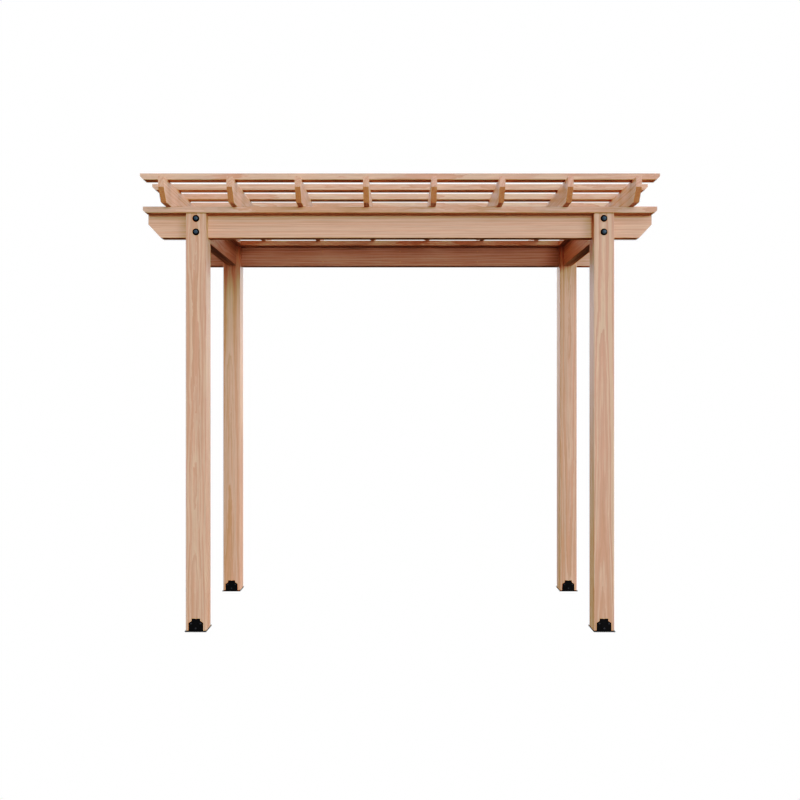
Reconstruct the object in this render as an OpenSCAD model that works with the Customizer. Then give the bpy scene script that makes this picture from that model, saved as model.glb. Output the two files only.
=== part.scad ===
// Wooden pergola: four notched posts on steel post bases, a ring of two-board beams
// under flat cap boards, eight rafters with cut tails and six slats across the top.
// X runs along the long beams, Y from the front to the back, Z up from the ground.
// The origin is on the ground at the centre of the overall plan.

/* [Posts] */
// Distance between the post centres along the long beams
post_span_x = 2828; // [2000:1:3400]
// Distance between the post centres from front to back
post_span_y = 1262; // [1000:1:1800]
// Side of the square posts
post_w = 140; // [120:1:180]
// Height of the post tops above the ground
post_top = 2899; // [2300:1:3200]
// Width of the small bevel along the edges of every post and board
edge_ease = 3; // [1:0.5:5]

/* [Beams] */
// Thickness of each of the two boards of a long beam
ply_t = 38; // [30:1:45]
// Height of the beams
beam_h = 160; // [130:1:220]
// Length of the long beams past the outer faces of the posts
beam_overhang = 278; // [180:1:400]
// Height of the upright nose at the ends of the long beams
beam_nose = 66; // [30:1:100]
// Length of the sloping cut under the ends of the long beams
beam_cut = 89; // [40:1:120]
// Thickness of each of the two boards of a side beam
side_ply_t = 38; // [25:1:50]
// Height of the side beams, which hang a little lower than the long ones
side_beam_h = 164; // [130:1:220]

/* [Caps] */
// Thickness of the flat boards on the beams
cap_t = 43; // [30:1:60]
// Width of the flat boards on the beams
cap_w = 164; // [150:1:200]
// Length of the long caps past the ends of the long beams
cap_overhang = 16; // [5:1:60]
// Length of the 45 degree cut under the ends of the long caps
cap_cut = 17; // [10:1:28]

/* [Rafters] */
// Thickness of the rafters
rafter_t = 38; // [30:1:60]
// Height of the rafters
rafter_h = 164; // [120:1:220]
// Length of the rafters past the outer faces of the posts
rafter_overhang = 195; // [120:1:300]
// Distance from the end of a long cap to the centre of the outermost rafter
rafter_inset = 175; // [60:1:260]
// Height of the upright nose at the rafter tails
rafter_nose = 72; // [30:1:100]
// Length of the sloping cut under the rafter tails
rafter_cut = 69; // [30:1:110]

/* [Slats] */
// Thickness of the slats
slat_t = 43; // [25:1:60]
// Width of the slats
slat_w = 82; // [50:1:120]
// Length of the slats past the outermost rafters
slat_overhang = 150; // [60:1:220]
// Distance from the front tip of the rafters to the first slat
slat_front = 97; // [75:1:160]
// Distance from the last slat to the rear tip of the rafters
slat_rear = 168; // [75:1:220]
// Length of the 45 degree cut under the slat ends
slat_cut = 23; // [8:1:24]
// Diameter of the recess over each slat screw
recess_d = 10; // [6:0.5:16]
// Depth of the recess over each slat screw
recess_h = 3; // [1:0.5:8]

/* [Post bases] */
// Thickness of the steel base plates
plate_t = 6; // [4:1:12]
// Length of the base plates past the side faces of the posts
plate_side = 4; // [2:1:20]
// Length of the base plates past the ears
plate_lip = 12; // [4:1:30]
// Thickness of the steel ears
ear_t = 4; // [3:0.5:8]
// Width of the ears at the plate
ear_w = 99; // [80:1:110]
// Width of the ears at the top
ear_neck = 57; // [30:1:66]
// Height of the ears above the ground
ear_h = 89; // [84:1:140]
// Height of the upright sides of the neck
ear_lip = 16; // [6:1:22]
// Height of the sloping shoulders below the neck
ear_shoulder = 13; // [6:1:20]
// Width of the shallow round dip in the top edge of the ears
ear_dip_w = 16; // [10:1:24]
// Depth of the dip
ear_dip = 2.5; // [1:0.5:4]
// Thickness of the raised panel on each ear
panel_t = 3; // [2:0.5:6]
// Width of the raised panel
panel_w = 40; // [30:1:44]
// Height of the raised panel above the ground
panel_h = 66; // [50:1:76]
// Size of the 45 degree cuts at the top corners of the panel
panel_cut = 8; // [3:1:14]
// Diameter of the anchor hole in each base plate
anchor_d = 17; // [12:1:22]
// Diameter of the pocket in the post end that clears the anchor nut
pocket_d = 44; // [36:1:60]
// Depth of the pocket in the post end
pocket_h = 34; // [20:1:40]
// Distance of the two upper lag screws from the middle of an ear
lag_spacing = 33; // [32:0.5:36]
// Height of the upper lag screws above the ground
lag_z = 57; // [54:1:60]
// Height of the lower lag screw above the ground
lag_low_z = 24; // [18:1:36]
// Diameter of the lag screw shanks
lag_d = 8; // [6:1:12]
// Length of the lag screws into the post
lag_l = 40; // [30:1:46]
// Width across the flats of the lag screw heads
lag_head = 13; // [11:1:15]
// Height of the lag screw heads
lag_head_h = 5; // [3:0.5:10]

/* [Beam screws] */
// Distance between the two screws at each post
screw_pitch = 94; // [60:1:110]
// Distance from the middle of the beams down to the middle between the two screws
screw_drop = 3; // [0:1:8]
// Diameter of the domed washers
washer_d = 48; // [40:1:56]
// Thickness of the washers at their rim
washer_rim = 2.5; // [1:0.5:5]
// Height of the dome above the rim
washer_dome = 5; // [3:0.5:10]
// Diameter of the flat on top of the dome
washer_top = 32; // [30:1:36]
// Width across the flats of the screw heads
screw_head = 24; // [18:1:25]
// Height of the screw heads above the dome
screw_head_h = 9; // [6:0.5:14]
// Rise of the rounded top of the screw heads
screw_crown = 3; // [1:0.5:5]
// Width across the flats of the sockets in the screw heads
socket_w = 9; // [6:1:12]
// Depth of the sockets
socket_h = 4; // [2:0.5:6]
// Diameter of the screw shanks
screw_d = 10; // [6:1:12]
// Wood left between the tip of a screw and the far face
screw_stop = 15; // [5:1:40]
// Clearance round every shank and past its tip
shank_clear = 0.5; // [0.3:0.1:1]

/* [Hidden] */
LEFT = -1;
RIGHT = 1;
FRONT = -1;
BACK = 1;
RAFTERS = 8;
SLATS = 6;
$fn = 48;
cut_over = 1;
cos_flat = cos(30);

post_x = post_span_x / 2;
post_y = post_span_y / 2;
post_bottom = plate_t;
beam_t = 2 * ply_t;
beam_z = post_top - beam_h;
beam_l = post_span_x + post_w + 2 * beam_overhang;
side_beam_l = post_span_y - post_w;
cap_l = beam_l + 2 * cap_overhang;
side_cap_l = post_span_y - cap_w;
rafter_z = post_top + cap_t;
rafter_l = post_span_y + post_w + 2 * rafter_overhang;
rafter_reach = cap_l / 2 - rafter_inset;
rafter_pitch = 2 * rafter_reach / (RAFTERS - 1);
slat_z = rafter_z + rafter_h;
slat_l = 2 * rafter_reach + rafter_t + 2 * slat_overhang;
slat_first = slat_front + slat_w / 2 - rafter_l / 2;
slat_pitch = (rafter_l - slat_front - slat_rear - slat_w) / (SLATS - 1);
plate_x = post_w + 2 * plate_side;
plate_y = post_w + 2 * (ear_t + plate_lip);
screw_z = beam_z + beam_h / 2 - screw_drop;
screw_l = post_w - screw_stop;
hole_d = screw_d + 2 * shank_clear;
lag_hole_d = lag_d + 2 * shank_clear;

// The place of a rafter along X, counted from the left
function rafter_x(number) = (number - 1) * rafter_pitch - rafter_reach;

// Each lag screw of an ear: distance from the middle, height, and distance of its seat from the post
LAGS = [
    [-lag_spacing, lag_z, ear_t],
    [lag_spacing, lag_z, ear_t],
    [0, lag_low_z, ear_t + panel_t]
];

WOOD = [0.78, 0.63, 0.52];
PALE_WOOD = [0.82, 0.69, 0.59];
STEEL = [0.07, 0.07, 0.08];

// A bar along Z with eased long edges, centred on the Z axis and standing on z = 0
module eased_bar(w, d, l) {
    x = w / 2;
    y = d / 2;
    e = edge_ease;
    linear_extrude(height = l)
        polygon([
            [e - x, -y], [x - e, -y], [x, e - y], [x, y - e],
            [x - e, y], [e - x, y], [-x, y - e], [-x, e - y]
        ]);
}

// A board along X with eased long edges, centred on X and Y, its underside on z = 0
module eased_board(l, h, t) {
    translate([-l / 2, 0, h / 2])
        rotate([90, 0, 90])
            eased_bar(t, h, l);
}

// The same board with cut ends: an upright nose above a cut that slopes back to the underside
module clipped_board(l, h, t, nose, cut) {
    end = l / 2;
    intersection() {
        eased_board(l, h, t);
        rotate([90, 0, 0])
            linear_extrude(height = t + 2 * cut_over, center = true)
                polygon([
                    [cut - end, 0], [end - cut, 0], [end, h - nose], [end, h],
                    [-end, h], [-end, h - nose]
                ]);
    }
}

// Places its children at the centre of a post, on the ground
module at_post(side, row) {
    translate([side * post_x, row * post_y, 0]) children();
}

// Turns what points up along +Z to point along the given row direction
module facing(row) {
    rotate([-row * 90, 0, 0]) children();
}

// Places its children where the beam screws of one post are seated, pointing outwards
module at_beam_screws(side, row) {
    at_post(side, row)
        for (step = [-1, 1])
            translate([0, row * post_w / 2, screw_z + step * screw_pitch / 2])
                facing(row) children();
}

// Places its children on the front or rear of a post, pointing away from it
module on_post_face(face, across, up, out) {
    translate([across, face * (post_w / 2 + out), up])
        facing(face) children();
}

// The bores for the beam screws of one post
module screw_holes(side, row) {
    at_beam_screws(side, row)
        translate([0, 0, -screw_l - shank_clear])
            cylinder(d = hole_d, h = screw_l + shank_clear + cut_over);
}

// The bores for the lag screws of one post
module lag_holes() {
    for (face = [FRONT, BACK], lag = LAGS)
        on_post_face(face, lag[0], lag[1], 0)
            translate([0, 0, -lag_l - shank_clear])
                cylinder(d = lag_hole_d, h = lag_l + shank_clear + cut_over);
}

// One post: notched on its rear face for a long beam, with a pocket over the anchor nut
module post(side, row) {
    color(WOOD)
        difference() {
            at_post(side, row)
                difference() {
                    translate([0, 0, post_bottom])
                        eased_bar(post_w, post_w, post_top - post_bottom);
                    translate([-post_w, post_w / 2 - beam_t, beam_z])
                        cube([2 * post_w, 2 * beam_t, 2 * beam_h]);
                    translate([0, 0, post_bottom - cut_over])
                        cylinder(d = pocket_d, h = pocket_h + cut_over);
                    lag_holes();
                }
            screw_holes(side, row);
        }
}

// The outline of one ear: a wide body, sloping shoulders and a neck with a dip on top
module ear_outline() {
    half = ear_w / 2;
    neck = ear_neck / 2;
    neck_z = ear_h - ear_lip;
    dip_r = (ear_dip_w * ear_dip_w / 4 + ear_dip * ear_dip) / (2 * ear_dip);
    difference() {
        polygon([
            [-half, plate_t], [half, plate_t], [half, neck_z - ear_shoulder], [neck, neck_z],
            [neck, ear_h], [-neck, ear_h], [-neck, neck_z], [-half, neck_z - ear_shoulder]
        ]);
        translate([0, ear_h - ear_dip + dip_r]) circle(r = dip_r);
    }
}

// The outline of the raised panel on an ear
module panel_outline() {
    half = panel_w / 2;
    polygon([
        [-half, plate_t], [half, plate_t], [half, panel_h - panel_cut], [half - panel_cut, panel_h],
        [panel_cut - half, panel_h], [-half, panel_h - panel_cut]
    ]);
}

// Extrudes a sketch drawn in X and Z outwards from the front or rear face of a post
module stand_out(face, t) {
    translate([0, face * (post_w + t) / 2, 0])
        rotate([90, 0, 0])
            linear_extrude(height = t, center = true) children();
}

// One ear with its raised panel
module ear(face) {
    stand_out(face, ear_t) ear_outline();
    stand_out(face, ear_t + panel_t) panel_outline();
}

// One lag screw, its head on z = 0 and its shank through what lies under its seat
module lag_screw(seat) {
    cylinder(d = lag_head / cos_flat, h = lag_head_h, $fn = 6);
    translate([0, 0, -seat - lag_l])
        cylinder(d = lag_d, h = seat + lag_l + lag_head_h / 2);
}

// The plate under a post, with its anchor hole
module base_plate() {
    difference() {
        translate([-plate_x / 2, -plate_y / 2, 0])
            cube([plate_x, plate_y, plate_t]);
        translate([0, 0, -cut_over])
            cylinder(d = anchor_d, h = plate_t + 2 * cut_over);
    }
}

// One post base: the plate, an ear on the front and on the rear face of the post,
// and the lag screws through the ears
module post_base(side, row) {
    color(STEEL)
        at_post(side, row)
            union() {
                base_plate();
                for (face = [FRONT, BACK]) {
                    ear(face);
                    for (lag = LAGS)
                        on_post_face(face, lag[0], lag[1], lag[2]) lag_screw(lag[2]);
                }
            }
}

// One of the two boards of the long beam in the notches of a row of posts, before or
// behind the joint between them
module long_beam(row, layer) {
    color(WOOD)
        difference() {
            translate([0, row * post_y + post_w / 2 - ply_t + layer * ply_t / 2, beam_z])
                clipped_board(beam_l, beam_h, ply_t, beam_nose, beam_cut);
            for (side = [LEFT, RIGHT]) screw_holes(side, row);
        }
}

// One of the two boards of a side beam, from the front beam to the cheek of the back
// post, left or right of the joint between them
module side_beam(side, layer) {
    color(WOOD)
        translate([side * post_x + layer * side_ply_t / 2, 0, post_top - side_beam_h])
            rotate([0, 0, 90])
                eased_board(side_beam_l, side_beam_h, side_ply_t);
}

// One long cap, flat on the posts and the beam of one row
module long_cap(row) {
    color(PALE_WOOD)
        translate([0, row * post_y, post_top])
            clipped_board(cap_l, cap_t, cap_w, cap_t - cap_cut, cap_cut);
}

// One side cap, flat on a side beam between the long caps
module side_cap(side) {
    color(PALE_WOOD)
        translate([side * post_x, 0, post_top])
            rotate([0, 0, 90])
                eased_board(side_cap_l, cap_t, cap_w);
}

// One rafter on edge across the caps, counted from the left
module rafter(number) {
    color(PALE_WOOD)
        translate([rafter_x(number), 0, rafter_z])
            rotate([0, 0, 90])
                clipped_board(rafter_l, rafter_h, rafter_t, rafter_nose, rafter_cut);
}

// One slat laid flat across the rafters, counted from the front, with a recess for
// the head of a screw over each rafter
module slat(number) {
    color(PALE_WOOD)
        translate([0, slat_first + (number - 1) * slat_pitch, slat_z])
            difference() {
                clipped_board(slat_l, slat_t, slat_w, slat_t - slat_cut, slat_cut);
                for (crossing = [1 : RAFTERS])
                    translate([rafter_x(crossing), 0, slat_t - recess_h])
                        cylinder(d = recess_d, h = recess_h + cut_over);
            }
}

// Half of the section of a domed washer
module washer_section() {
    top = washer_rim + washer_dome;
    run = (washer_d - washer_top) / 2;
    radius = (run * run + washer_dome * washer_dome) / (2 * washer_dome);
    intersection() {
        translate([washer_top / 2, top - radius])
            circle(r = radius, $fn = 96);
        translate([0, washer_rim])
            square([washer_d / 2, washer_dome]);
    }
    square([washer_d / 2, washer_rim]);
    square([washer_top / 2, top]);
}

// A hexagonal screw head with a rounded top and a hexagonal socket
module crowned_head() {
    top = washer_rim + washer_dome + screw_head_h;
    corner = screw_head / cos_flat / 2;
    radius = (corner * corner + screw_crown * screw_crown) / (2 * screw_crown);
    difference() {
        intersection() {
            cylinder(r = corner, h = top, $fn = 6);
            translate([0, 0, top - radius]) sphere(r = radius, $fn = 96);
        }
        translate([0, 0, top - socket_h])
            cylinder(d = socket_w / cos_flat, h = socket_h + cut_over, $fn = 6);
    }
}

// One structural screw: a domed washer, a hexagonal head and a shank into the wood
module beam_screw() {
    rotate_extrude() washer_section();
    crowned_head();
    translate([0, 0, -screw_l])
        cylinder(d = screw_d, h = screw_l + washer_rim);
}

// The two screws that hold a long beam to one post
module beam_screws(side, row) {
    color(STEEL) at_beam_screws(side, row) beam_screw();
}

post(LEFT, FRONT);  // post_front_left
post(RIGHT, FRONT);  // post_front_right
post(LEFT, BACK);  // post_back_left
post(RIGHT, BACK);  // post_back_right
post_base(LEFT, FRONT);  // post_base_front_left
post_base(RIGHT, FRONT);  // post_base_front_right
post_base(LEFT, BACK);  // post_base_back_left
post_base(RIGHT, BACK);  // post_base_back_right
long_beam(FRONT, FRONT);  // beam_front_outer
long_beam(FRONT, BACK);  // beam_front_inner
long_beam(BACK, FRONT);  // beam_back_inner
long_beam(BACK, BACK);  // beam_back_outer
side_beam(LEFT, LEFT);  // side_beam_left_outer
side_beam(LEFT, RIGHT);  // side_beam_left_inner
side_beam(RIGHT, LEFT);  // side_beam_right_inner
side_beam(RIGHT, RIGHT);  // side_beam_right_outer
long_cap(FRONT);  // cap_front
long_cap(BACK);  // cap_back
side_cap(LEFT);  // cap_left
side_cap(RIGHT);  // cap_right
rafter(1);  // rafter_1
rafter(2);  // rafter_2
rafter(3);  // rafter_3
rafter(4);  // rafter_4
rafter(5);  // rafter_5
rafter(6);  // rafter_6
rafter(7);  // rafter_7
rafter(8);  // rafter_8
slat(1);  // slat_1
slat(2);  // slat_2
slat(3);  // slat_3
slat(4);  // slat_4
slat(5);  // slat_5
slat(6);  // slat_6
beam_screws(LEFT, FRONT);  // beam_screws_front_left
beam_screws(RIGHT, FRONT);  // beam_screws_front_right
beam_screws(LEFT, BACK);  // beam_screws_back_left
beam_screws(RIGHT, BACK);  // beam_screws_back_right
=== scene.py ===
"""Wooden pergola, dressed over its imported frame.

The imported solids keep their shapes. Each board gets the figure of its own log, the post bases and the
big screws get painted and blackened steel, and the small screws that hold the boards are added here.
Everything is in metres, with the ground at Z 0 and the front towards -Y.
"""

from __future__ import annotations

import logging
import math
import random
from dataclasses import dataclass
from enum import Enum, StrEnum
from typing import Any, Sequence

import bpy
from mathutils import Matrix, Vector

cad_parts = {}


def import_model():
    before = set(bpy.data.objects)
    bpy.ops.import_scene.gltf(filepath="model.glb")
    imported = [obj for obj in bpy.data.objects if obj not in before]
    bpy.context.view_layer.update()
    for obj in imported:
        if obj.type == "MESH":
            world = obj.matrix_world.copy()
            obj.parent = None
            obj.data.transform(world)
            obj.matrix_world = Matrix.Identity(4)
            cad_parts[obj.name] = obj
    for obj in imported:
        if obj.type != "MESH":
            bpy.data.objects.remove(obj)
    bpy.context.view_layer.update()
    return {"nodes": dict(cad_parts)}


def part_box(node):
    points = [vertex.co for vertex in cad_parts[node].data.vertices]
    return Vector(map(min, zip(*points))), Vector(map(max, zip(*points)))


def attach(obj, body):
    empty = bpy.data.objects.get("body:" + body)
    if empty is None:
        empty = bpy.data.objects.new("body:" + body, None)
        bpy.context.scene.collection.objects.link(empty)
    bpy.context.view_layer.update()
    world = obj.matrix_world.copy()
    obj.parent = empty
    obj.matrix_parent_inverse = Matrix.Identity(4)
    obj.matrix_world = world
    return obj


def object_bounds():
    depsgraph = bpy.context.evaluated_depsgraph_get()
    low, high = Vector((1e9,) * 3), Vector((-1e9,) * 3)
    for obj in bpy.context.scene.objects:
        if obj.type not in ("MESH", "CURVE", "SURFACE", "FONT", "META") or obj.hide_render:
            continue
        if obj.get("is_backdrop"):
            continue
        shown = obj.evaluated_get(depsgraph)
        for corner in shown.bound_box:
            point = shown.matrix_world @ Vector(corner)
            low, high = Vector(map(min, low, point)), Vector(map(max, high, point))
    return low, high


log = logging.getLogger("pergola")

Colour = tuple[float, float, float, float]
Display = tuple[int, int, int]
Socket = bpy.types.NodeSocket
BODY = "root"
RAFTERS = 8
SLATS = 6
WHITE: Colour = (1.0, 1.0, 1.0, 1.0)


def paint(red: int, green: int, blue: int) -> Colour:
    """Turns a display colour into the linear colour that shaders use.

    Args:
        red: Red from 0 to 255.
        green: Green from 0 to 255.
        blue: Blue from 0 to 255.

    Returns:
        The linear colour with full alpha.
    """
    parts = [c / 255 for c in (red, green, blue)]
    r, g, b = (c / 12.92 if c <= 0.04045 else ((c + 0.055) / 1.055) ** 2.4 for c in parts)
    return (r, g, b, 1.0)


class Row(StrEnum):
    """The two rows of posts, as their names say it."""

    FRONT = "front"
    BACK = "back"


class Side(StrEnum):
    """The two sides of the pergola as seen from the front."""

    LEFT = "left"
    RIGHT = "right"


class Layer(StrEnum):
    """The two boards of a beam."""

    OUTER = "outer"
    INNER = "inner"


class Run(Enum):
    """The way a board's grain runs, with the turn that brings a log's length onto it."""

    ACROSS = (0.0, math.pi / 2, 0.0)
    DEPTH = (-math.pi / 2, 0.0, 0.0)
    UPRIGHT = (0.0, 0.0, 0.0)

    @property
    def axis(self) -> int:
        """The number of the axis that the grain follows."""
        return (Run.ACROSS, Run.DEPTH, Run.UPRIGHT).index(self)


class Facing(Enum):
    """The way a screw's head looks out of its board, as the turn from straight up."""

    UP = (0.0, 0.0, 0.0)
    FRONT = (math.pi / 2, 0.0, 0.0)
    BACK = (-math.pi / 2, 0.0, 0.0)
    RIGHT = (0.0, math.pi / 2, 0.0)
    LEFT = (0.0, -math.pi / 2, 0.0)


class Weave:
    """Adds nodes to one tree and joins them, so that a finish reads as a few lines of sums."""

    def __init__(self, tree: bpy.types.NodeTree) -> None:
        """Keeps the tree that the nodes go into.

        Args:
            tree: A shader or geometry tree.
        """
        self.tree = tree

    @classmethod
    def cleared(cls, owner: bpy.types.Material | bpy.types.World) -> Weave:
        """Switches a material or a world to nodes and removes those that it starts with.

        Args:
            owner: The material or the world.

        Returns:
            The weave of its empty tree.
        """
        owner.use_nodes = True
        owner.node_tree.nodes.clear()
        return cls(owner.node_tree)

    def node(self, kind: str, feeds: dict[Any, Any] | None = None, **settings: Any) -> bpy.types.Node:
        """Adds a node.

        Args:
            kind: The node's type name.
            feeds: What goes into its sockets, a value or another node's socket, by name or number.
            **settings: The node's own settings.

        Returns:
            The new node.
        """
        made = self.tree.nodes.new(kind)
        for name, value in settings.items():
            setattr(made, name, value)
        for name, value in (feeds or {}).items():
            if isinstance(value, Socket):
                self.tree.links.new(value, made.inputs[name])
            else:
                made.inputs[name].default_value = value
        return made

    def sum(self, operation: str, *terms: Any) -> Socket:
        """Adds a Math node and returns its value."""
        return self.node("ShaderNodeMath", dict(enumerate(terms)), operation=operation).outputs[0]

    def vector(self, operation: str, *terms: Any) -> Socket:
        """Adds a Vector Math node and returns its vector."""
        return self.node("ShaderNodeVectorMath", dict(enumerate(terms)), operation=operation).outputs[0]

    def parts(self, vector: Any) -> list[Socket]:
        """Splits a vector into its three numbers."""
        return list(self.node("ShaderNodeSeparateXYZ", {0: vector}).outputs)

    def joined(self, x: Any, y: Any, z: Any) -> Socket:
        """Makes a vector of three numbers."""
        return self.node("ShaderNodeCombineXYZ", {0: x, 1: y, 2: z}).outputs[0]

    def rest(self, value: Any) -> Socket:
        """Takes a value away from 1."""
        return self.sum("SUBTRACT", 1.0, value)

    def rise(self, value: Any, low: float, high: float, top: float = 1.0) -> Socket:
        """Rises smoothly and then stays level.

        Args:
            value: What the rise follows.
            low: Where it starts, at 0.
            high: Where it ends.
            top: How high it ends.

        Returns:
            The height at the value.
        """
        feeds = {0: value, 1: low, 2: high, 3: 0.0, 4: top}
        made = self.node("ShaderNodeMapRange", feeds, interpolation_type="SMOOTHSTEP", clamp=True)
        return made.outputs[0]

    def span(self, value: Any, low: float, high: float) -> Socket:
        """Spreads a value from 0 to 1 evenly over low to high."""
        return self.node("ShaderNodeMapRange", {0: value, 1: 0.0, 2: 1.0, 3: low, 4: high}).outputs[0]

    def swing(self, value: Any, depth: float) -> Socket:
        """Spreads a value from 0 to 1 evenly round 1, as far as depth either way."""
        return self.span(value, 1.0 - depth, 1.0 + depth)

    def sway(self, value: Any, reach: float, base: Any) -> Socket:
        """Moves a base up and down with a value from 0 to 1, over a whole reach."""
        return self.sum("MULTIPLY_ADD", self.sum("SUBTRACT", value, 0.5), reach, base)

    def noise(self, vector: Any, scale: float, detail: float = 2.0, rough: float = 0.5) -> bpy.types.Node:
        """Adds a Noise Texture in three dimensions."""
        feeds = {"Vector": vector, "Scale": scale, "Detail": detail, "Roughness": rough}
        return self.node("ShaderNodeTexNoise", feeds, noise_dimensions="3D")

    def mix(self, factor: Any, first: Any, second: Any) -> Socket:
        """Mixes two colours and returns the result."""
        return self.node("ShaderNodeMix", {0: factor, 6: first, 7: second}, data_type="RGBA").outputs[2]

    def ramp(self, value: Any, stops: Sequence[tuple[float, Any]]) -> Socket:
        """Adds a chain of mixes that runs through colours.

        Args:
            value: What picks the colour.
            stops: Each colour, or socket that gives one, with its place, in rising order.

        Returns:
            The colour.
        """
        place, colour = stops[0]
        for higher, following in stops[1:]:
            colour = self.mix(self.rise(value, place, higher), colour, following)
            place = higher
        return colour

    def skin(self, look: dict[str, Any], height: Any, strength: float, depth: float) -> None:
        """Ends a material in its shader, with a bumped surface.

        Args:
            look: What goes into the shader's sockets.
            height: What raises the surface.
            strength: The share of the bumps that shows.
            depth: How deep they are.
        """
        bump = self.node("ShaderNodeBump", {"Height": height, "Strength": strength, "Distance": depth})
        self.surface(self.node("ShaderNodeBsdfPrincipled", look | {"Normal": bump.outputs[0]}))

    def surface(self, shader: bpy.types.Node) -> None:
        """Ends a material in a shader."""
        self.node("ShaderNodeOutputMaterial", {"Surface": shader.outputs[0]})


@dataclass(frozen=True)
class Strand:
    """A noise drawn out along the grain: how close it is across and along it, and how it breaks up."""

    across: float
    along: float
    detail: float = 2.0
    rough: float = 0.5

    def drawn(self, w: Weave, place: Any) -> Socket:
        """Adds the noise at a place in the log."""
        stretched = w.vector("MULTIPLY", place, (self.across, self.across, self.along))
        return w.noise(stretched, 1.0, self.detail, self.rough).outputs[0]


@dataclass(frozen=True)
class Figure:
    """The figure that every log shares, as one group of shader nodes.

    The group's Place is in metres with the log's length along Z, Heart is where the pith passes the board,
    End is how squarely the surface cuts the grain, and Half is half the board's section.
    """

    name: str = "timber_figure"
    inputs: tuple[tuple[str, str], ...] = (
        ("Place", "Vector"), ("Heart", "Vector"), ("Seed", "Vector"), ("Half", "Vector"), ("End", "Float"),
        ("Ring", "Float"), ("Wander", "Float"), ("Taper", "Float"), ("Line Share", "Float"),
        ("Pale", "Color"), ("Warm", "Color"), ("Rosy", "Color"), ("Line", "Color"), ("End Colour", "Color"),
    )
    outputs: tuple[tuple[str, str], ...] = (("Colour", "Color"), ("Roughness", "Float"), ("Relief", "Float"))

    # The log: how its pith bends along it, and how its rings waver.
    bend_scale: float = 1.15
    bend_detail: float = 1.5
    ripple: Strand = Strand(12.0, 1.6, 3.0, 0.55)
    ripple_reach: float = 0.010
    feather: Strand = Strand(75.0, 12.0, 2.0, 0.6)
    feather_reach: float = 0.0045

    # One ring: where its late wood sets in and is full, how soon it stops, and the least of it in a year.
    late: tuple[float, float] = (0.35, 0.90)
    late_stop: float = 0.10
    weakest_year: float = 0.30

    # The tints: how they follow the years, streaks and threads, and where each lies.
    wave_scale: float = 0.36
    wave_detail: float = 2.0
    streak: Strand = Strand(60.0, 0.9)
    streak_reach: float = 0.32
    thread: Strand = Strand(95.0, 2.6, 3.0, 0.65)
    thread_reach: float = 0.95
    year_reach: float = 0.34
    tints: tuple[float, float, float] = (0.39, 0.50, 0.61)

    # The shades of fibres, clouds, bands and rounded edges.
    fibre: Strand = Strand(420.0, 7.0, 3.0, 0.6)
    fibre_depth: float = 0.14
    cloud_scale: float = 2.6
    cloud_depth: float = 0.03
    band: Strand = Strand(120.0, 2.2, 2.0, 0.6)
    band_depth: float = 0.24
    arris: tuple[float, float] = (0.0015, 0.0060)
    arris_depth: float = 0.10

    # The sawn ends, browned partly as end grain and partly as painted shade, then the gloss and the relief of
    # the surface.
    slant: tuple[float, float] = (0.45, 0.66)
    square: tuple[float, float] = (0.80, 0.95)
    square_share: float = 0.85
    end_share: float = 0.78
    end_line_share: float = 0.35
    end_rough: float = 0.22
    fibre_rough: float = 0.06
    fibre_relief: float = 0.55
    late_relief: float = 0.45

    def group(self) -> bpy.types.NodeTree:
        """Builds, once, the group that turns a place in a log into colour, roughness and relief.

        Returns:
            The shader group.
        """
        found = bpy.data.node_groups.get(self.name)
        if found:
            return found
        tree = bpy.data.node_groups.new(self.name, "ShaderNodeTree")
        for way, sockets in (("INPUT", self.inputs), ("OUTPUT", self.outputs)):
            for name, kind in sockets:
                tree.interface.new_socket(name, in_out=way, socket_type=f"NodeSocket{kind}")
        w = Weave(tree)
        given = w.node("NodeGroupInput").outputs
        strewn = w.vector("ADD", given["Place"], given["Seed"])
        rings = self.rings(w, given, strewn)
        year = w.sum("FLOOR", rings)
        strength = w.node("ShaderNodeTexWhiteNoise", {"W": year}, noise_dimensions="1D").outputs["Value"]
        late = self.late_wood(w, rings, strength)
        fibre = self.fibre.drawn(w, strewn)

        # Groups of years share a tint, which streaks and threads break up along the grain.
        since = w.sum("ADD", rings, w.parts(given["Seed"])[0])
        feeds = {"W": since, "Scale": self.wave_scale, "Detail": self.wave_detail}
        tint = w.node("ShaderNodeTexNoise", feeds, noise_dimensions="1D").outputs[0]
        tint = w.sway(self.streak.drawn(w, strewn), self.streak_reach, tint)
        tint = w.sway(self.thread.drawn(w, strewn), self.thread_reach, tint)
        tint = w.sway(strength, self.year_reach, tint)
        colour = w.ramp(tint, list(zip(self.tints, (given["Pale"], given["Warm"], given["Rosy"]))))
        colour = w.mix(w.sum("MULTIPLY", late, given["Line Share"]), colour, given["Line"])

        # Sloping cuts, which face down, turn brown, partly as end grain and partly as painted shade; square
        # ends less so, and the rings show as arcs.
        square = w.rise(given["End"], *self.square, self.square_share)
        end = w.sum("MULTIPLY", w.rise(given["End"], *self.slant), w.rest(square))
        colour = w.mix(w.sum("MULTIPLY", end, self.end_share), colour, given["End Colour"])
        arcs = w.sum("MULTIPLY", w.sum("MULTIPLY", end, late), self.end_line_share)
        colour = w.mix(arcs, colour, given["Line"])

        shade = self.shade(w, given, strewn, fibre)
        shaded = w.node("ShaderNodeVectorMath", {0: colour, "Scale": shade}, operation="SCALE").outputs[0]
        uneven = w.span(fibre, -self.fibre_rough, self.fibre_rough)
        rough = w.sum("ADD", w.sum("MULTIPLY", end, self.end_rough), uneven)
        relief = w.sum("MULTIPLY_ADD", fibre, self.fibre_relief, w.sum("MULTIPLY", late, self.late_relief))
        w.node("NodeGroupOutput", {"Colour": shaded, "Roughness": rough, "Relief": relief})
        return tree

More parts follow.
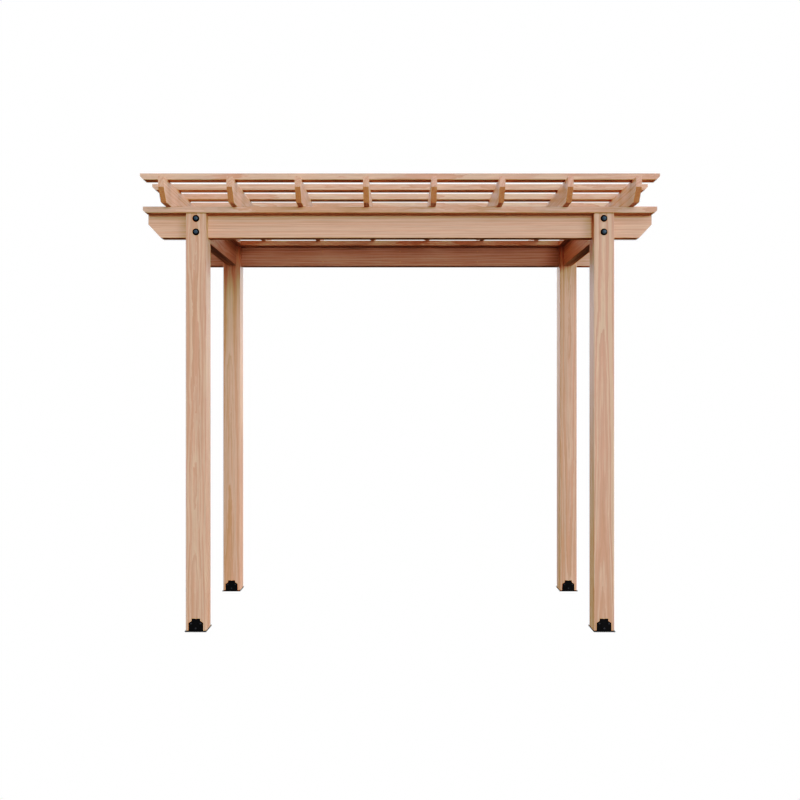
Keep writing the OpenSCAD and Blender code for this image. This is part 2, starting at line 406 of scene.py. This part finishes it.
    def rings(self, w: Weave, given: Any, strewn: Socket) -> Socket:
        """Counts the years from the pith out to a place in the log.

        The log tapers and its pith bends slowly, which draws the long pointed figures on flat-sawn faces.

        Args:
            w: The group's weave.
            given: The group's inputs.
            strewn: The place, moved to the board's own part of every noise.

        Returns:
            The number of years.
        """
        slow = w.noise(w.vector("MULTIPLY", strewn, (0.0, 0.0, 1.0)), self.bend_scale, self.bend_detail)
        bend = w.vector("SUBTRACT", slow.outputs["Color"], (0.5, 0.5, 0.5))
        heart = w.vector("ADD", given["Heart"], w.vector("MULTIPLY", bend, given["Wander"]))
        out = w.vector("MULTIPLY", w.vector("SUBTRACT", given["Place"], heart), (1.0, 1.0, 0.0))
        distance = w.node("ShaderNodeVectorMath", {0: out}, operation="LENGTH").outputs["Value"]
        distance = w.sway(self.ripple.drawn(w, strewn), self.ripple_reach, distance)
        distance = w.sway(self.feather.drawn(w, strewn), self.feather_reach, distance)
        distance = w.sum("MULTIPLY_ADD", w.parts(given["Place"])[2], given["Taper"], distance)
        return w.sum("DIVIDE", distance, given["Ring"])

    def late_wood(self, w: Weave, rings: Socket, strength: Socket) -> Socket:
        """Finds the late wood of each ring, which ends sharply and is stronger in some years.

        Args:
            w: The group's weave.
            rings: The number of years from the pith.
            strength: How strong the year is.

        Returns:
            The share of late wood.
        """
        part = w.sum("FRACT", rings)
        late = w.sum("MULTIPLY", w.rise(part, *self.late), w.rise(w.rest(part), 0.0, self.late_stop))
        return w.sum("MULTIPLY", late, w.span(strength, self.weakest_year, 1.0))

    def shade(self, w: Weave, given: Any, strewn: Socket, fibre: Socket) -> Socket:
        """Shades fine fibres, slow clouds and bands, and the arris that planing rounded.

        Args:
            w: The group's weave.
            given: The group's inputs.
            strewn: The place, moved to the board's own part of every noise.
            fibre: The fine fibres.

        Returns:
            What the colour is multiplied by.
        """
        cloud = w.noise(strewn, self.cloud_scale).outputs[0]
        shade = w.sum("MULTIPLY", w.swing(fibre, self.fibre_depth), w.swing(cloud, self.cloud_depth))
        shade = w.sum("MULTIPLY", shade, w.swing(self.band.drawn(w, strewn), self.band_depth))
        places, halves = w.parts(given["Place"]), w.parts(given["Half"])
        inside = [w.sum("SUBTRACT", half, w.sum("ABSOLUTE", place)) for place, half in zip(places, halves)]
        arris = w.rest(w.rise(w.sum("MAXIMUM", inside[0], inside[1]), *self.arris))
        return w.sum("MULTIPLY", shade, w.rest(w.sum("MULTIPLY", arris, self.arris_depth)))


@dataclass(frozen=True)
class Timber:
    """The colours and figure of one lot of sawn, planed softwood."""

    pale: Colour = paint(203, 166, 132)
    warm: Colour = paint(199, 152, 119)
    rosy: Colour = paint(192, 137, 105)
    line: Colour = paint(181, 122, 89)
    # end grain brown, which on the downward sloping cuts also stands in for painted shade
    end: Colour = paint(192, 118, 76)
    ring: float = 0.0048
    line_share: float = 0.55
    wander: float = 0.028
    roughness: float = 0.52
    shine: float = 0.45
    relief: float = 0.5
    relief_depth: float = 0.0006

    @classmethod
    def toned(cls, pale: Display, warm: Display, rosy: Display, **rest: Any) -> Timber:
        """Makes a lot from its display colours."""
        return cls(paint(*pale), paint(*warm), paint(*rosy), **rest)

    def material(self, name: str, board: Board) -> bpy.types.Material:
        """Makes one board's own material.

        Args:
            name: The board's name.
            board: Where it lies, how it runs and which part of the log it comes from.

        Returns:
            The material.
        """
        made = bpy.data.materials.new(f"timber_{name}")
        w = Weave.cleared(made)
        seat = w.node("ShaderNodeTexCoord").outputs
        feeds = {"Vector": seat["Object"], "Location": board.centre, "Rotation": board.run.value}
        place = w.node("ShaderNodeMapping", feeds, vector_type="TEXTURE").outputs[0]
        end = w.sum("ABSOLUTE", w.parts(seat["Normal"])[board.run.axis])
        feeds = {
            "Place": place, "End": end, "Heart": board.heart, "Seed": board.seed, "Half": board.half,
            "Ring": self.ring * board.growth, "Wander": self.wander, "Taper": board.taper,
            "Line Share": self.line_share, "Line": self.line, "End Colour": self.end,
            "Pale": self.pale, "Warm": self.warm, "Rosy": self.rosy,
        }
        figure = w.node("ShaderNodeGroup", feeds, node_tree=Figure().group()).outputs
        rough = w.sum("ADD", figure["Roughness"], self.roughness)
        look = {"Base Color": figure["Colour"], "Roughness": rough, "Specular IOR Level": self.shine}
        w.skin(look, figure["Relief"], self.relief, self.relief_depth)
        return made


class Lot(Enum):
    """The lots of timber that the boards come from, some pinker and some with finer rings. Some lots are
    darker or paler copies, and the right-hand rafters' lot is pinker, as painted shade and painted light.
    """

    POST = Timber()
    # painted light: a paler copy of the post lot that makes up for the shade on the back posts
    BACK_POST = Timber.toned((212, 171, 136), (208, 157, 123), (203, 144, 111))
    BEAM = Timber.toned((213, 170, 135), (209, 162, 127), (205, 152, 117), line_share=0.50)
    # painted shade: a darker copy of the beam lot for inner boards that lie in the shade under the roof
    INNER_BEAM = Timber.toned((199, 158, 133), (192, 148, 121), (184, 136, 109), line_share=0.50)
    CAP = Timber.toned((206, 167, 136), (202, 156, 125), (194, 138, 104), ring=0.0030)
    RAFTER = Timber.toned((210, 170, 136), (206, 157, 123), (200, 145, 111),
                          line=paint(191, 136, 105), line_share=0.35)
    # painted light: a pinker tint that stands in for how the left-facing sides of the right-hand rafters are
    # lit
    PINK_RAFTER = Timber.toned((212, 167, 139), (208, 154, 126), (202, 142, 114),
                               line=paint(192, 133, 106), line_share=0.35)
    # painted light: the front slat is darker and the rest paler, to even out the shade that the front slats
    # cast on those behind
    FRONT_SLAT = Timber.toned((205, 167, 137), (201, 156, 126), (194, 140, 108), ring=0.0028)
    SLAT = Timber.toned((214, 182, 152), (211, 171, 140), (207, 158, 126), ring=0.0028)


@dataclass(frozen=True)
class Board:
    """One board: how it lies in the frame and which part of a log it was sawn from."""

    centre: Vector
    half: Vector
    run: Run
    heart: Vector
    seed: Vector
    growth: float
    taper: float


@dataclass(frozen=True)
class Sawing:
    """How one kind of board is sawn.

    Heart is where the pith lies from the board's middle, across its section, and stray is how far it may
    lie from there, either way. Seeds, growth and taper are what one board may have.
    """

    run: Run
    heart: tuple[float, float]
    stray: tuple[float, float]
    seeds: tuple[float, float] = (5, 60)
    growth: tuple[float, float] = (0.85, 1.2)
    taper: tuple[float, float] = (0.004, 0.009)

    def board(self, node: str) -> Board:
        """Picks a board's part of the log from its name, the same on every run.

        Args:
            node: The CAD node.

        Returns:
            The board.
        """
        low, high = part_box(node)
        pick = random.Random(node)
        half = (high - low) / 2
        sections = {Run.ACROSS: (half.z, half.y), Run.DEPTH: (half.x, half.z), Run.UPRIGHT: (half.x, half.y)}
        off = [h + s * pick.uniform(-1, 1) for h, s in zip(self.heart, self.stray)]
        return Board(
            centre=(low + high) / 2,
            half=Vector((*sections[self.run], 0.0)),
            run=self.run,
            heart=Vector((*off, 0.0)),
            seed=Vector([pick.uniform(*self.seeds) for _ in range(3)]),
            growth=pick.uniform(*self.growth),
            taper=pick.choice((-1, 1)) * pick.uniform(*self.taper),
        )


def cover(piece: bpy.types.Object, finish: bpy.types.Material) -> None:
    """Puts a finish in a piece's material slot.

    Args:
        piece: The piece.
        finish: The material.
    """
    if not piece.material_slots:
        piece.data.materials.append(finish)
    for slot in piece.material_slots:
        slot.material = finish


@dataclass(frozen=True)
class Timbers:
    """Dresses every board of the pergola, each kind sawn in its own way."""

    post: Sawing = Sawing(Run.UPRIGHT, (0.0, 0.020), (0.020, 0.020))
    beam: Sawing = Sawing(Run.ACROSS, (-0.150, 0.040), (0.030, 0.030))
    long_cap: Sawing = Sawing(Run.ACROSS, (0.010, 0.150), (0.020, 0.030))
    side_beam: Sawing = Sawing(Run.DEPTH, (0.080, 0.070), (0.030, 0.030))
    side_cap: Sawing = Sawing(Run.DEPTH, (0.030, 0.070), (0.040, 0.020))
    rafter: Sawing = Sawing(Run.DEPTH, (0.075, 0.030), (0.030, 0.050))
    slat: Sawing = Sawing(Run.ACROSS, (0.000, 0.110), (0.025, 0.030))

    def boards(self) -> dict[str, tuple[Lot, Sawing]]:
        """Lists each board with the lot it comes from and the way it is sawn.

        Returns:
            The lot and the sawing, by the CAD node's name.
        """
        cut: dict[str, tuple[Lot, Sawing]] = {}
        for row in Row:
            for side in Side:
                # painted light: the back posts take the paler lot
                lot = Lot.POST if row is Row.FRONT else Lot.BACK_POST
                cut[f"post_{row}_{side}"] = lot, self.post
            for layer in Layer:
                # painted shade: the back beam's inner board takes the darker lot
                lot = Lot.INNER_BEAM if (row, layer) == (Row.BACK, Layer.INNER) else Lot.BEAM
                cut[f"beam_{row}_{layer}"] = lot, self.beam
            cut[f"cap_{row}"] = Lot.CAP, self.long_cap
        for side in Side:
            for layer in Layer:
                # painted shade: the left side beam's inner board takes the darker lot
                lot = Lot.INNER_BEAM if (side, layer) == (Side.LEFT, Layer.INNER) else Lot.BEAM
                cut[f"side_beam_{side}_{layer}"] = lot, self.side_beam
            cut[f"cap_{side}"] = Lot.CAP, self.side_cap
        for number in range(1, RAFTERS + 1):
            # painted light: the right-hand rafters take the pinker lot
            lot = Lot.RAFTER if number <= RAFTERS / 2 else Lot.PINK_RAFTER
            cut[f"rafter_{number}"] = lot, self.rafter
        for number in range(1, SLATS + 1):
            # painted light: the unshaded front slat takes the darker lot, the shaded ones the paler
            cut[f"slat_{number}"] = Lot.FRONT_SLAT if number == 1 else Lot.SLAT, self.slat
        return cut

    def dress(self, nodes: dict[str, bpy.types.Object]) -> None:
        """Gives each board its material.

        Args:
            nodes: The CAD nodes by name.
        """
        boards = self.boards()
        for name, (lot, sawing) in boards.items():
            cover(nodes[name], lot.value.material(name, sawing.board(name)))
        log.info("dressed %d boards", len(boards))


@dataclass(frozen=True)
class Crown:
    """The screw heads on a steel piece: all that is high enough, and far enough from a middle along Y."""

    colour: Colour
    middle: float
    start: float
    above: float = 0.0
    edge: float = 0.0004

    def share(self, w: Weave, place: Socket) -> Socket:
        """Gives 1 on the heads and 0 elsewhere.

        Args:
            w: The material's weave.
            place: The place on the piece.

        Returns:
            The share of the heads' colour.
        """
        _, deep, height = w.parts(place)
        out = w.sum("ABSOLUTE", w.sum("SUBTRACT", deep, self.middle))
        out = w.rise(out, self.start, self.start + self.edge)
        return w.sum("MULTIPLY", out, w.rise(height, self.above, self.above + self.edge))


@dataclass(frozen=True)
class Steel:
    """A painted or plated steel finish, with a fine orange-peel skin, uneven gloss and faint scuffs."""

    name: str
    colour: Colour
    worn: Colour
    metal: float
    roughness: float
    shine: float
    grit: float
    patches: float = 14
    scuffs: tuple[float, float] = (0.56, 0.74)
    scuff_share: float = 0.6
    uneven: float = 0.14
    peel_noise: tuple[float, float] = (3.0, 0.6)
    patch_noise: tuple[float, float] = (4.0, 0.62)
    peel: float = 0.35
    peel_depth: float = 0.0004

    def material(self, crown: Crown | None = None) -> bpy.types.Material:
        """Makes the finish.

        Args:
            crown: Where the heads' own colour begins, if the piece has screws.

        Returns:
            The material.
        """
        made = bpy.data.materials.new(self.name)
        w = Weave.cleared(made)
        place = w.node("ShaderNodeTexCoord").outputs["Object"]
        peel = w.noise(place, self.grit, *self.peel_noise).outputs[0]
        patch = w.noise(place, self.grit / self.patches, *self.patch_noise).outputs[0]
        colour = w.mix(w.rise(patch, *self.scuffs, self.scuff_share), self.colour, self.worn)
        if crown:
            colour = w.mix(crown.share(w, place), colour, crown.colour)
        rough = w.sum("ADD", w.span(patch, -self.uneven, self.uneven), self.roughness)
        look = {"Base Color": colour, "Metallic": self.metal, "Roughness": rough}
        look["Specular IOR Level"] = self.shine
        w.skin(look, peel, self.peel, self.peel_depth)
        return made


POWDER_COAT = Steel("black_powder_coat", paint(19, 19, 21), paint(32, 32, 35),
                    metal=0.0, roughness=0.60, shine=0.16, grit=620.0)
BLACK_SCREW = Steel("black_screw", paint(20, 20, 21), paint(38, 40, 44),
                    metal=0.2, roughness=0.42, shine=0.30, grit=900.0)
YELLOW_ZINC = Steel("yellow_zinc", paint(206, 162, 124), paint(182, 138, 100),
                    metal=0.25, roughness=0.55, shine=0.30, grit=1500.0)
TAN_SCREW = Steel("tan_coated_screw", paint(120, 84, 56), paint(78, 55, 38),
                  metal=0.25, roughness=0.46, shine=0.40, grit=1500.0)


@dataclass(frozen=True)
class Hardware:
    """Dresses the post bases and the big screws of the beams, with the heads in a tone of their own."""

    blued: Colour = paint(60, 78, 91)
    head_height: float = 0.008
    lag: Colour = paint(58, 59, 63)
    lag_out: float = 0.0774
    plate_top: float = 0.010

    def dress(self, nodes: dict[str, bpy.types.Object]) -> None:
        """Gives each steel node its material.

        Args:
            nodes: The CAD nodes by name.
        """
        for row in Row:
            low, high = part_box(f"beam_screws_{row}_left")
            point = high.y if row is Row.FRONT else low.y
            screw = BLACK_SCREW.material(Crown(self.blued, point, high.y - low.y - self.head_height))
            low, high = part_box(f"post_base_{row}_left")
            coat = POWDER_COAT.material(Crown(self.lag, (low.y + high.y) / 2, self.lag_out, self.plate_top))
            for side in Side:
                cover(nodes[f"post_base_{row}_{side}"], coat)
                cover(nodes[f"beam_screws_{row}_{side}"], screw)
        log.info("dressed the post bases and the beam screws")


@dataclass(frozen=True)
class ScrewHead:
    """A round head with a star socket, its rim on the board and its middle slightly raised."""

    radius: float
    height: float
    socket: float
    points: int = 6
    sunk: float = 0.0006
    star: float = 0.40
    star_wave: float = 0.07

    def mesh(self, name: str) -> bpy.types.Mesh:
        """Lofts the head through rings, from its underside over the rim and down into the socket.

        Args:
            name: The mesh's name.

        Returns:
            The mesh, looking up along Z with its underside just below 0.
        """
        count = self.points * 4
        floor = self.height - self.socket
        # Each ring's share of the radius, or None for the star of the socket, and its height.
        profile = (
            (0.0, -self.sunk), (0.94, -self.sunk), (1.0, self.height * 0.30), (0.90, self.height * 0.82),
            (0.66, self.height), (None, self.height), (None, floor), (0.0, floor),
        )
        verts: list[tuple[float, float, float]] = []
        faces: list[tuple[int, ...]] = []
        rows: list[list[int]] = []
        for share, z in profile:
            if share == 0.0:
                rows.append([len(verts)] * count)
                verts.append((0.0, 0.0, z))
                continue
            row = []
            for step in range(count):
                turn = math.tau * step / count
                wave = self.star + self.star_wave * math.cos(self.points * turn)
                reach = self.radius * (wave if share is None else share)
                row.append(len(verts))
                verts.append((reach * math.cos(turn), reach * math.sin(turn), z))
            rows.append(row)
        for lower, upper in zip(rows, rows[1:]):
            for step in range(count):
                after = (step + 1) % count
                corners = dict.fromkeys((lower[step], lower[after], upper[after], upper[step]))
                faces.append(tuple(corners))
        made = bpy.data.meshes.new(name)
        made.from_pydata(verts, [], faces)
        made.update()
        return made


def joined_mesh(name: str, parts: Sequence[bpy.types.Mesh], finish: bpy.types.Material) -> bpy.types.Mesh:
    """Joins meshes that share one material.

    Args:
        name: The new mesh's name.
        parts: The meshes, which are removed.
        finish: Their material.

    Returns:
        The joined mesh.
    """
    verts: list[Vector] = []
    faces: list[list[int]] = []
    for part in parts:
        start = len(verts)
        verts += [v.co.copy() for v in part.vertices]
        faces += [[start + i for i in p.vertices] for p in part.polygons]
    made = bpy.data.meshes.new(name)
    made.from_pydata(verts, [], faces)
    made.materials.append(finish)
    made.update()
    for part in parts:
        bpy.data.meshes.remove(part)
    return made


class ScrewSetting:
    """Sets one kind of screw head on a list of points with Geometry Nodes."""

    def __init__(self, name: str, head: ScrewHead, finish: bpy.types.Material, seed: int) -> None:
        """Keeps what every screw of the set shares.

        Args:
            name: The piece's name.
            head: The head's shape.
            finish: The head's material.
            seed: The seed of the turn that each screw was left at.
        """
        self.name, self.head, self.finish, self.seed = name, head, finish, seed

    def tree(self) -> tuple[bpy.types.NodeTree, dict[str, str]]:
        """Builds the tree that sets a head on each point.

        Returns:
            The tree, and the identifier of each of its inputs by name.
        """
        tree = bpy.data.node_groups.new(f"{self.name}_tree", "GeometryNodeTree")
        kinds = (
            ("Points", "Geometry"), ("Head", "Object"), ("Outwards", "Rotation"), ("Seed", "Int"),
            ("Finish", "Material"),
        )
        face = tree.interface
        sockets = [face.new_socket(n, in_out="INPUT", socket_type=f"NodeSocket{k}") for n, k in kinds]
        face.new_socket("Screws", in_out="OUTPUT", socket_type="NodeSocketGeometry")
        w = Weave(tree)
        given = w.node("NodeGroupInput").outputs
        turn = w.node("FunctionNodeRandomValue", {"Seed": given["Seed"]}, data_type="FLOAT")
        turn.inputs[2].default_value, turn.inputs[3].default_value = 0.0, math.tau
        spin = w.node("FunctionNodeEulerToRotation", {0: w.joined(0.0, 0.0, turn.outputs[1])}).outputs[0]
        aim = w.node("FunctionNodeRotateRotation", {"Rotation": spin, "Rotate By": given["Outwards"]},
                     rotation_space="GLOBAL").outputs[0]
        head = w.node("GeometryNodeObjectInfo", {"Object": given["Head"]}).outputs["Geometry"]
        points = w.node("GeometryNodeMeshToPoints", {"Mesh": given["Points"]}).outputs[0]
        set_on = w.node("GeometryNodeInstanceOnPoints", {"Points": points, "Instance": head, "Rotation": aim})
        real = w.node("GeometryNodeRealizeInstances", {0: set_on.outputs[0]}).outputs[0]
        done = w.node("GeometryNodeSetMaterial", {"Geometry": real, "Material": given["Finish"]}).outputs[0]
        w.node("NodeGroupOutput", {0: done})
        return tree, {socket.name: socket.identifier for socket in sockets}

    def place(self, groups: Sequence[tuple[Facing, Sequence[Vector]]]) -> None:
        """Sets the screws and joins them into one plain piece that rides on the pergola.

        Args:
            groups: The points of the screws, by the way they look.
        """
        head = bpy.data.objects.new(f"{self.name}_head", self.head.mesh(f"{self.name}_head"))
        bpy.context.scene.collection.objects.link(head)
        tree, sockets = self.tree()
        parts: list[bpy.types.Mesh] = []
        for facing, points in groups:
            seats = bpy.data.meshes.new(f"{self.name}_seats")
            seats.from_pydata(points, [], [])
            host = bpy.data.objects.new(f"{self.name}_{facing.name.lower()}", seats)
            bpy.context.scene.collection.objects.link(host)
            setter = host.modifiers.new("screws", "NODES")
            setter.node_group = tree
            setter[sockets["Head"]] = head
            setter[sockets["Outwards"]] = facing.value
            setter[sockets["Seed"]] = self.seed + len(parts)
            setter[sockets["Finish"]] = self.finish
            ready = host.evaluated_get(bpy.context.evaluated_depsgraph_get())
            parts.append(bpy.data.meshes.new_from_object(ready))
            host.modifiers.remove(setter)
            bpy.data.objects.remove(host)
        bpy.data.objects.remove(head)
        piece = bpy.data.objects.new(self.name, joined_mesh(self.name, parts, self.finish))
        bpy.context.scene.collection.objects.link(piece)
        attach(piece, BODY)
        log.info("set %d screws of %s", sum(len(p) for _, p in groups), self.name)


def middle(ends: tuple[Vector, Vector]) -> tuple[float, ...]:
    """Finds the middle between the two corners of a box."""
    return tuple((low + high) / 2 for low, high in zip(*ends))


@dataclass(frozen=True)
class SmallScrews:
    """The screws that hold the slats, the caps and the two boards of each beam."""

    deck: ScrewHead = ScrewHead(radius=0.0042, height=0.0022, socket=0.0012)
    bright: ScrewHead = ScrewHead(radius=0.0060, height=0.0022, socket=0.0012)
    slat_seed: int = 11
    cap_seed: int = 23
    ply_seed: int = 37
    recess: float = 0.003
    ply_every: float = 0.655
    ply_apart: float = 0.088
    cap_in: float = 0.040
    side_cap_shares: tuple[float, ...] = (0.12, 0.5, 0.88)

    def rafter_middles(self) -> list[float]:
        """Finds the middle of each rafter along X."""
        return [middle(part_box(f"rafter_{number}"))[0] for number in range(1, RAFTERS + 1)]

    def slat_seats(self) -> list[Vector]:
        """Finds the floor of each recess in the slats.

        Returns:
            One point for each rafter under each slat.
        """
        seats = []
        for number in range(1, SLATS + 1):
            low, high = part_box(f"slat_{number}")
            y = middle((low, high))[1]
            seats += [Vector((x, y, high.z - self.recess)) for x in self.rafter_middles()]
        return seats

    def cap_seats(self) -> list[Vector]:
        """Finds the screws through the caps, in pairs halfway between the rafters.

        Returns:
            The points on the top of the caps.
        """
        middles = self.rafter_middles()
        seats = []
        for row in Row:
            low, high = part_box(f"cap_{row}")
            for left, right in zip(middles, middles[1:]):
                x = (left + right) / 2
                seats += [Vector((x, y, high.z)) for y in (low.y + self.cap_in, high.y - self.cap_in)]
        for side in Side:
            low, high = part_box(f"cap_{side}")
            for share in self.side_cap_shares:
                y = low.y + (high.y - low.y) * share
                seats += [Vector((x, y, high.z)) for x in (low.x + self.cap_in, high.x - self.cap_in)]
        return seats

    def ply_seats(self) -> list[tuple[Facing, list[Vector]]]:
        """Finds the pairs of screws on the inner faces of the beams.

        Returns:
            The points by the way they look.
        """
        groups = []
        steps = (-self.ply_apart / 2, self.ply_apart / 2)
        for row, facing in ((Row.FRONT, Facing.BACK), (Row.BACK, Facing.FRONT)):
            low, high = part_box(f"beam_{row}_inner")
            y, up = (high.y if row is Row.FRONT else low.y), middle((low, high))[2]
            along = (-self.ply_every, 0.0, self.ply_every)
            groups.append((facing, [Vector((x, y, up + z)) for x in along for z in steps]))
        for side, facing in ((Side.LEFT, Facing.RIGHT), (Side.RIGHT, Facing.LEFT)):
            low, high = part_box(f"side_beam_{side}_inner")
            x, (_, deep, up) = (high.x if side is Side.LEFT else low.x), middle((low, high))
            along = (-self.ply_every / 2, self.ply_every / 2)
            groups.append((facing, [Vector((x, deep + y, up + z)) for y in along for z in steps]))
        return groups

    def build(self) -> None:
        """Makes the three sets of screws."""
        tan = TAN_SCREW.material()
        ScrewSetting("slat_screws", self.deck, tan, self.slat_seed).place([(Facing.UP, self.slat_seats())])
        ScrewSetting("cap_screws", self.deck, tan, self.cap_seed).place([(Facing.UP, self.cap_seats())])
        zinc = YELLOW_ZINC.material()
        ScrewSetting("ply_screws", self.bright, zinc, self.ply_seed).place(self.ply_seats())


@dataclass(frozen=True)
class Softbox:
    """One distant light: where it stands round the pergola, how high, how wide and how bright.

    Turn 0 is the camera's side and 90 is the right. Turn, height and spread are in degrees.
    """

    name: str
    turn: float
    height: float
    spread: float
    strength: float

    def build(self) -> None:
        """Adds the light."""
        data = bpy.data.lights.new(self.name, "SUN")
        data.energy = self.strength
        data.angle = math.radians(self.spread)
        lamp = bpy.data.objects.new(self.name, data)
        turn, height = math.radians(self.turn), math.radians(self.height)
        level = math.cos(height)
        towards = Vector((math.sin(turn) * level, -math.cos(turn) * level, math.sin(height)))
        lamp.rotation_euler = towards.to_track_quat("Z", "Y").to_euler()
        bpy.context.scene.collection.objects.link(lamp)


@dataclass(frozen=True)
class Studio:
    """A white studio: softboxes all round, a lamp at the right and a glow from the floor.

    Each band is where the light of the white surround sets in and where it is full. The first two are
    heights, from -1 straight below to 1 straight above, and the last a depth, from -1 in front to 1 behind.
    """

    lens_pixels: float = 857.8
    frame_pixels: float = 800.0
    sensor: float = 36.0
    eye: tuple[float, float, float] = (0.0, -6.646, 1.604)
    sight: float = 200.0
    ambient: float = 0.56
    bounce: float = 0.03
    sheen: float = 2.00
    ambient_band: tuple[float, float] = (-0.05, 0.15)
    sheen_band: tuple[float, float] = (-0.06, 0.08)
    depth_band: tuple[float, float] = (-0.4, 0.6)
    front_sheen: float = 0.3
    floor_half: float = 60.0
    lights: tuple[Softbox, ...] = (
        Softbox("front_softbox", 8.0, 4.0, 18.0, 0.80),
        Softbox("low_softbox", 0.0, -10.0, 12.0, 0.36),
        Softbox("upper_softbox", 4.0, 14.0, 10.0, 0.27),
        Softbox("key_softbox", 45.0, 14.0, 26.0, 1.10),
        Softbox("right_softbox", 85.0, 28.0, 70.0, 1.10),
        Softbox("right_lamp", 90.0, 38.0, 24.0, 0.55),
        Softbox("right_strip", 92.0, 3.0, 34.0, 1.05),
        Softbox("left_strip", -92.0, 3.0, 34.0, 0.58),
        Softbox("left_softbox", -96.0, 38.0, 60.0, 0.70),
        Softbox("back_softbox", 180.0, 30.0, 60.0, 1.80),
        Softbox("floor_glow", 0.0, -84.0, 60.0, 0.11),
    )
    tone: tuple[tuple[float, float], ...] = (
        (0.01, 0.0018), (0.02, 0.0048), (0.03, 0.0085), (0.05, 0.0225), (0.08, 0.0515),
        (0.10, 0.0745), (0.125, 0.105), (0.15, 0.146), (0.175, 0.188), (0.20, 0.222),
        (0.25, 0.275), (0.30, 0.318), (0.35, 0.3556), (0.50, 0.4833), (0.62, 0.5765),
        (0.73, 0.660), (0.82, 0.730), (0.90, 0.830), (0.95, 0.912),
    )

    def camera(self) -> None:
        """Sets up the level camera that took the photograph."""
        data = bpy.data.cameras.new("camera")
        data.sensor_width = self.sensor
        data.lens = self.lens_pixels * data.sensor_width / self.frame_pixels
        data.clip_end = self.sight
        camera = bpy.data.objects.new("camera", data)
        camera.location = self.eye
        camera.rotation_euler = (math.pi / 2, 0.0, 0.0)
        bpy.context.scene.collection.objects.link(camera)
        bpy.context.scene.camera = camera

    def world(self) -> None:
        """Makes a white surround that lights the pergola mostly from above the horizon."""
        world = bpy.data.worlds.new("studio")
        bpy.context.scene.world = world
        w = Weave.cleared(world)
        _, depth, height = w.parts(w.node("ShaderNodeTexCoord").outputs["Generated"])
        rays = w.node("ShaderNodeLightPath").outputs
        soft = w.rise(height, *self.ambient_band, self.ambient - self.bounce)
        soft = w.sum("ADD", soft, self.bounce)
        gloss = w.span(w.rise(depth, *self.depth_band), self.front_sheen, 1.0)
        gloss = w.sum("MULTIPLY", w.rise(height, *self.sheen_band, self.sheen), gloss)
        level = w.mix(rays["Is Glossy Ray"], w.joined(soft, soft, soft), w.joined(gloss, gloss, gloss))
        level = w.mix(rays["Is Camera Ray"], level, WHITE)
        sky = w.node("ShaderNodeBackground", {"Color": level, "Strength": 1.0}).outputs[0]
        w.node("ShaderNodeOutputWorld", {"Surface": sky})

    def floor(self) -> None:
        """Lays the plain white floor, which neither lights nor shades the pergola."""
        h = self.floor_half
        mesh = bpy.data.meshes.new("floor")
        mesh.from_pydata([(-h, -h, 0), (h, -h, 0), (h, h, 0), (-h, h, 0)], [], [(0, 1, 2, 3)])
        material = bpy.data.materials.new("white_floor")
        w = Weave.cleared(material)
        w.surface(w.node("ShaderNodeEmission", {"Color": WHITE, "Strength": 1.0}))
        mesh.materials.append(material)
        floor = bpy.data.objects.new("floor", mesh)
        floor.visible_diffuse = floor.visible_glossy = floor.visible_shadow = False
        bpy.context.scene.collection.objects.link(floor)
        floor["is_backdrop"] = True

    def develop(self) -> None:
        """Gives the picture plain colours with the photograph's deeper shadows."""
        view = bpy.context.scene.view_settings
        view.view_transform, view.look = "Standard", "None"
        view.use_curve_mapping = True
        curves = view.curve_mapping
        curves.extend = "HORIZONTAL"
        combined = curves.curves[3]
        for place, level in self.tone:
            combined.points.new(place, level)
        curves.update()

    def build(self) -> None:
        """Sets up the picture: camera, lights, floor and colour handling."""
        self.camera()
        self.world()
        for light in self.lights:
            light.build()
        self.floor()
        self.develop()
        log.info("studio ready")


def corners() -> list[list[float]]:
    """Returns the lowest and highest corner of what shows, as plain lists."""
    return [[float(c) for c in corner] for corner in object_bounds()]


def main() -> None:
    """Loads the frame, dresses it, and adds the small screws and the studio."""
    logging.basicConfig(level=logging.INFO, format="%(name)s: %(message)s")
    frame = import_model()
    Studio().build()
    Timbers().dress(frame["nodes"])
    Hardware().dress(frame["nodes"])
    SmallScrews().build()


if __name__ == "__main__":
    main()
